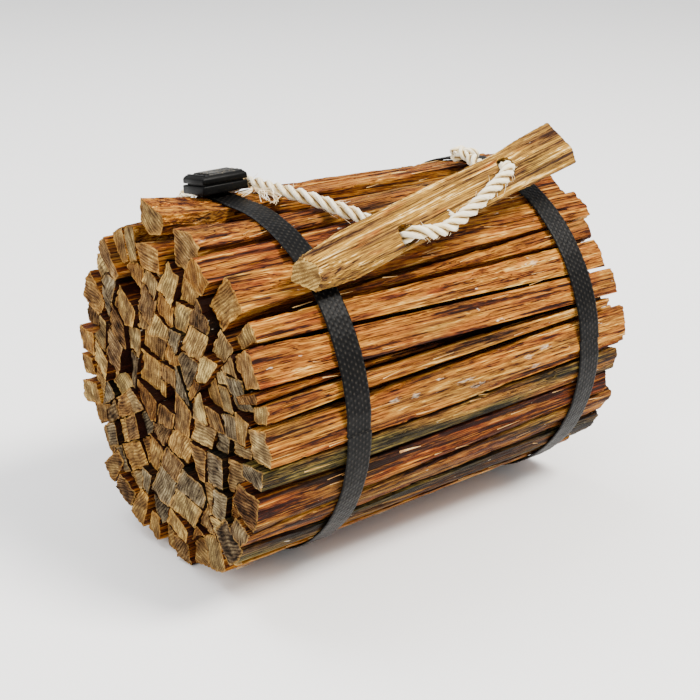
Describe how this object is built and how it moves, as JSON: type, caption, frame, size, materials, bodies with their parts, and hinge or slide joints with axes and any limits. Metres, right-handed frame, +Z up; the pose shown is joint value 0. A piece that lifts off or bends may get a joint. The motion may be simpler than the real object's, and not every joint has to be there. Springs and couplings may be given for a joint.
{
  "type": "bundle of kindling sticks",
  "caption": "Round bundle of split kindling held by two woven straps, with a rope handle that runs through a drilled stick.",
  "frame": {"origin": "on the ground under the middle of the bundle, which lies on its straps", "axes": "+X along the sticks, from the end with the front strap and its buckle nearer to it towards the other end; +Z up; -Y is the side where the handle lies"},
  "size_m": [0.219, 0.1616, 0.1837],
  "materials": {
    "split_softwood": "split resinous softwood, unfinished, honey to red-brown with olive-grey weathered faces and grey-brown end grain",
    "handle_softwood": "split resinous softwood, unfinished, honey brown",
    "woven_webbing": "black woven polypropylene webbing, slight sheen on the weave",
    "moulded_plastic": "black moulded plastic, satin",
    "twisted_rope": "undyed cotton rope, soft, slightly fuzzy"
  },
  "bodies": {
    "root": {"core_sticks": "split_softwood", "front_buckle": "moulded_plastic", "front_knot": "twisted_rope", "front_strap": "woven_webbing", "handle_rope": "twisted_rope", "handle_stick": "handle_softwood", "rear_buckle": "moulded_plastic", "rear_knot": "twisted_rope", "rear_strap": "woven_webbing", "stick_01": "split_softwood", "stick_02": "split_softwood", "stick_03": "split_softwood", "stick_04": "split_softwood", "stick_05": "split_softwood", "stick_06": "split_softwood", "stick_07": "split_softwood", "stick_08": "split_softwood", "stick_09": "split_softwood", "stick_10": "split_softwood", "stick_11": "split_softwood", "stick_12": "split_softwood", "stick_13": "split_softwood", "stick_14": "split_softwood", "stick_15": "split_softwood", "stick_16": "split_softwood", "stick_17": "split_softwood", "stick_18": "split_softwood", "stick_19": "split_softwood", "stick_20": "split_softwood", "stick_21": "split_softwood", "stick_22": "split_softwood", "stick_23": "split_softwood", "stick_24": "split_softwood", "stick_25": "split_softwood", "stick_26": "split_softwood", "stick_27": "split_softwood", "stick_28": "split_softwood", "stick_29": "split_softwood", "stick_30": "split_softwood", "stick_31": "split_softwood", "stick_32": "split_softwood", "stick_33": "split_softwood", "stick_34": "split_softwood", "stick_35": "split_softwood"}
  },
  "joints": []
}
